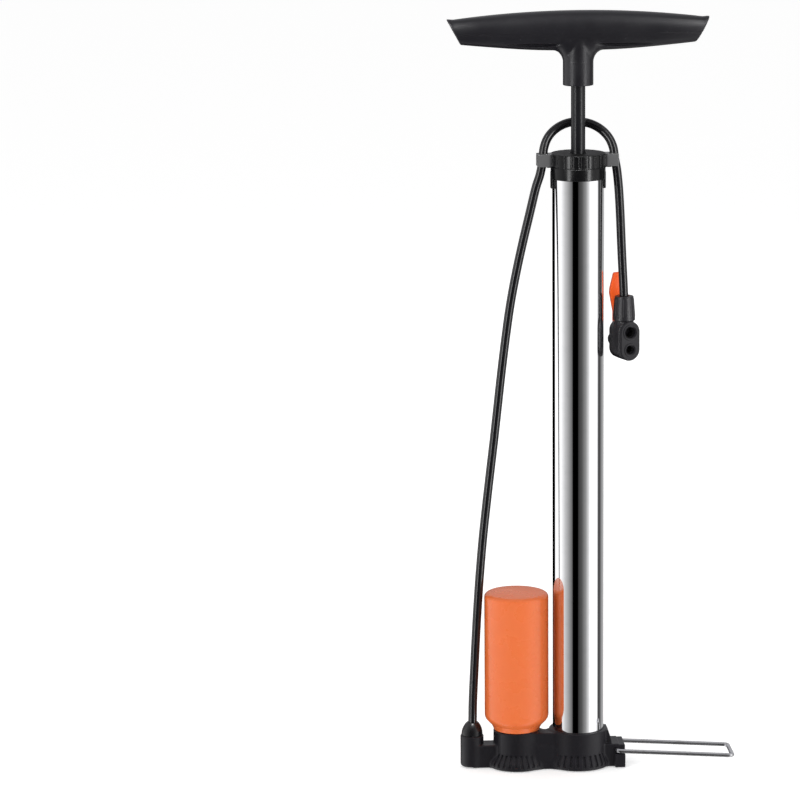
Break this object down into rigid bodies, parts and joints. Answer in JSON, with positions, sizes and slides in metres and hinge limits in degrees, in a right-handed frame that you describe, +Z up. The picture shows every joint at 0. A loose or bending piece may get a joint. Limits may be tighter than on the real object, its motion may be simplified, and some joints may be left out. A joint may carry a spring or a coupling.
{
  "type": "floor bike pump",
  "caption": "Upright floor pump: steel barrel, T handle, side air tank, moulded foot with folding wire pedal, and a looped hose ending in a twin-port clip head with a thumb lever.",
  "frame": {"origin": "on the barrel's axis, in the plane of the floor that the foot stands on", "axes": "+Z up along the barrel, +X towards the folding pedal, -Y towards the front; the air tank and hose socket are on -X"},
  "size_m": [0.213, 0.049, 0.5682],
  "materials": {
    "base_plastic": "fine spark-eroded black moulding",
    "barrel_chrome": "mirror chrome plate",
    "tank_plastic": "glossy orange moulding",
    "lever_plastic": "glossy orange moulding",
    "hose_rubber": "smooth extruded black rubber",
    "boot_rubber": "soft moulded black rubber",
    "cap_plastic": "semi-gloss black moulding",
    "handle_plastic": "satin black moulding",
    "head_plastic": "satin black moulding",
    "inner_plastic": "natural moulding",
    "rod_paint": "gloss black enamel",
    "pedal_steel": "bright drawn wire, zinc plated",
    "steel": "zinc plated",
    "brass": "turned",
    "seal_rubber": "moulded nitrile"
  },
  "bodies": {
    "pump": {"base": "base_plastic", "barrel": "barrel_chrome", "barrel_gasket": "seal_rubber", "air_tank": "tank_plastic", "tank_gasket": "seal_rubber", "check_valve_seat": "brass", "check_valve_spring": "steel", "check_valve_cage": "inner_plastic", "hose_barb": "brass", "hose_boot": "boot_rubber", "hose": "hose_rubber", "top_cap": "cap_plastic", "rod_bush": "inner_plastic", "head_body": "head_plastic", "head_face_cap": "head_plastic", "head_collar": "head_plastic", "head_barb": "brass", "lever_pin": "steel", "schrader_gasket": "seal_rubber", "presta_gasket": "seal_rubber"},
    "piston": {"piston_body": "inner_plastic", "piston_cup": "seal_rubber"},
    "rod": {"piston_rod": "rod_paint", "rod_bumper": "seal_rubber", "piston_washer": "steel", "piston_nut": "steel", "handle": "handle_plastic", "handle_nut": "steel"},
    "pedal": {"foot_pedal": "pedal_steel"},
    "lever": {"head_lever": "lever_plastic"},
    "plunger": {"head_plunger": "inner_plastic"},
    "check_ball": {"check_valve_ball": "steel"}
  },
  "joints": [
    {"name": "piston_slide", "type": "slide", "parent": "pump", "child": "piston", "axis": [0, 0, 1], "range_m": [-0.045, 0.34]},
    {"name": "handle_spin", "type": "hinge", "parent": "piston", "child": "rod", "pos_m": [0, 0, 0.3], "axis": [0, 0, 1], "continuous": true},
    {"name": "pedal_fold", "type": "hinge", "parent": "pump", "child": "pedal", "pos_m": [0.0277, 0, 0.013], "axis": [0, -1, 0], "range_deg": [0, 95]},
    {"name": "lever_flip", "type": "hinge", "parent": "pump", "child": "lever", "pos_m": [0.03148, 0.00371, 0.3245], "axis": [-0.9205, -0.3907, 0], "range_deg": [0, 95]},
    {"name": "plunger_press", "type": "slide", "parent": "pump", "child": "plunger", "axis": [0.3907, -0.9205, 0], "range_m": [0, 0.00141]},
    {"name": "check_ball_lift", "type": "slide", "parent": "pump", "child": "check_ball", "axis": [0, 0, 1], "range_m": [0, 0.0013], "stiffness_N_per_m": 20, "springref_m": -0.003, "deforming": ["check_valve_spring"]}
  ],
  "couplings": [
    {"joint": "plunger_press", "follows": "lever_flip", "m_per_rad": 0.00084436}
  ]
}
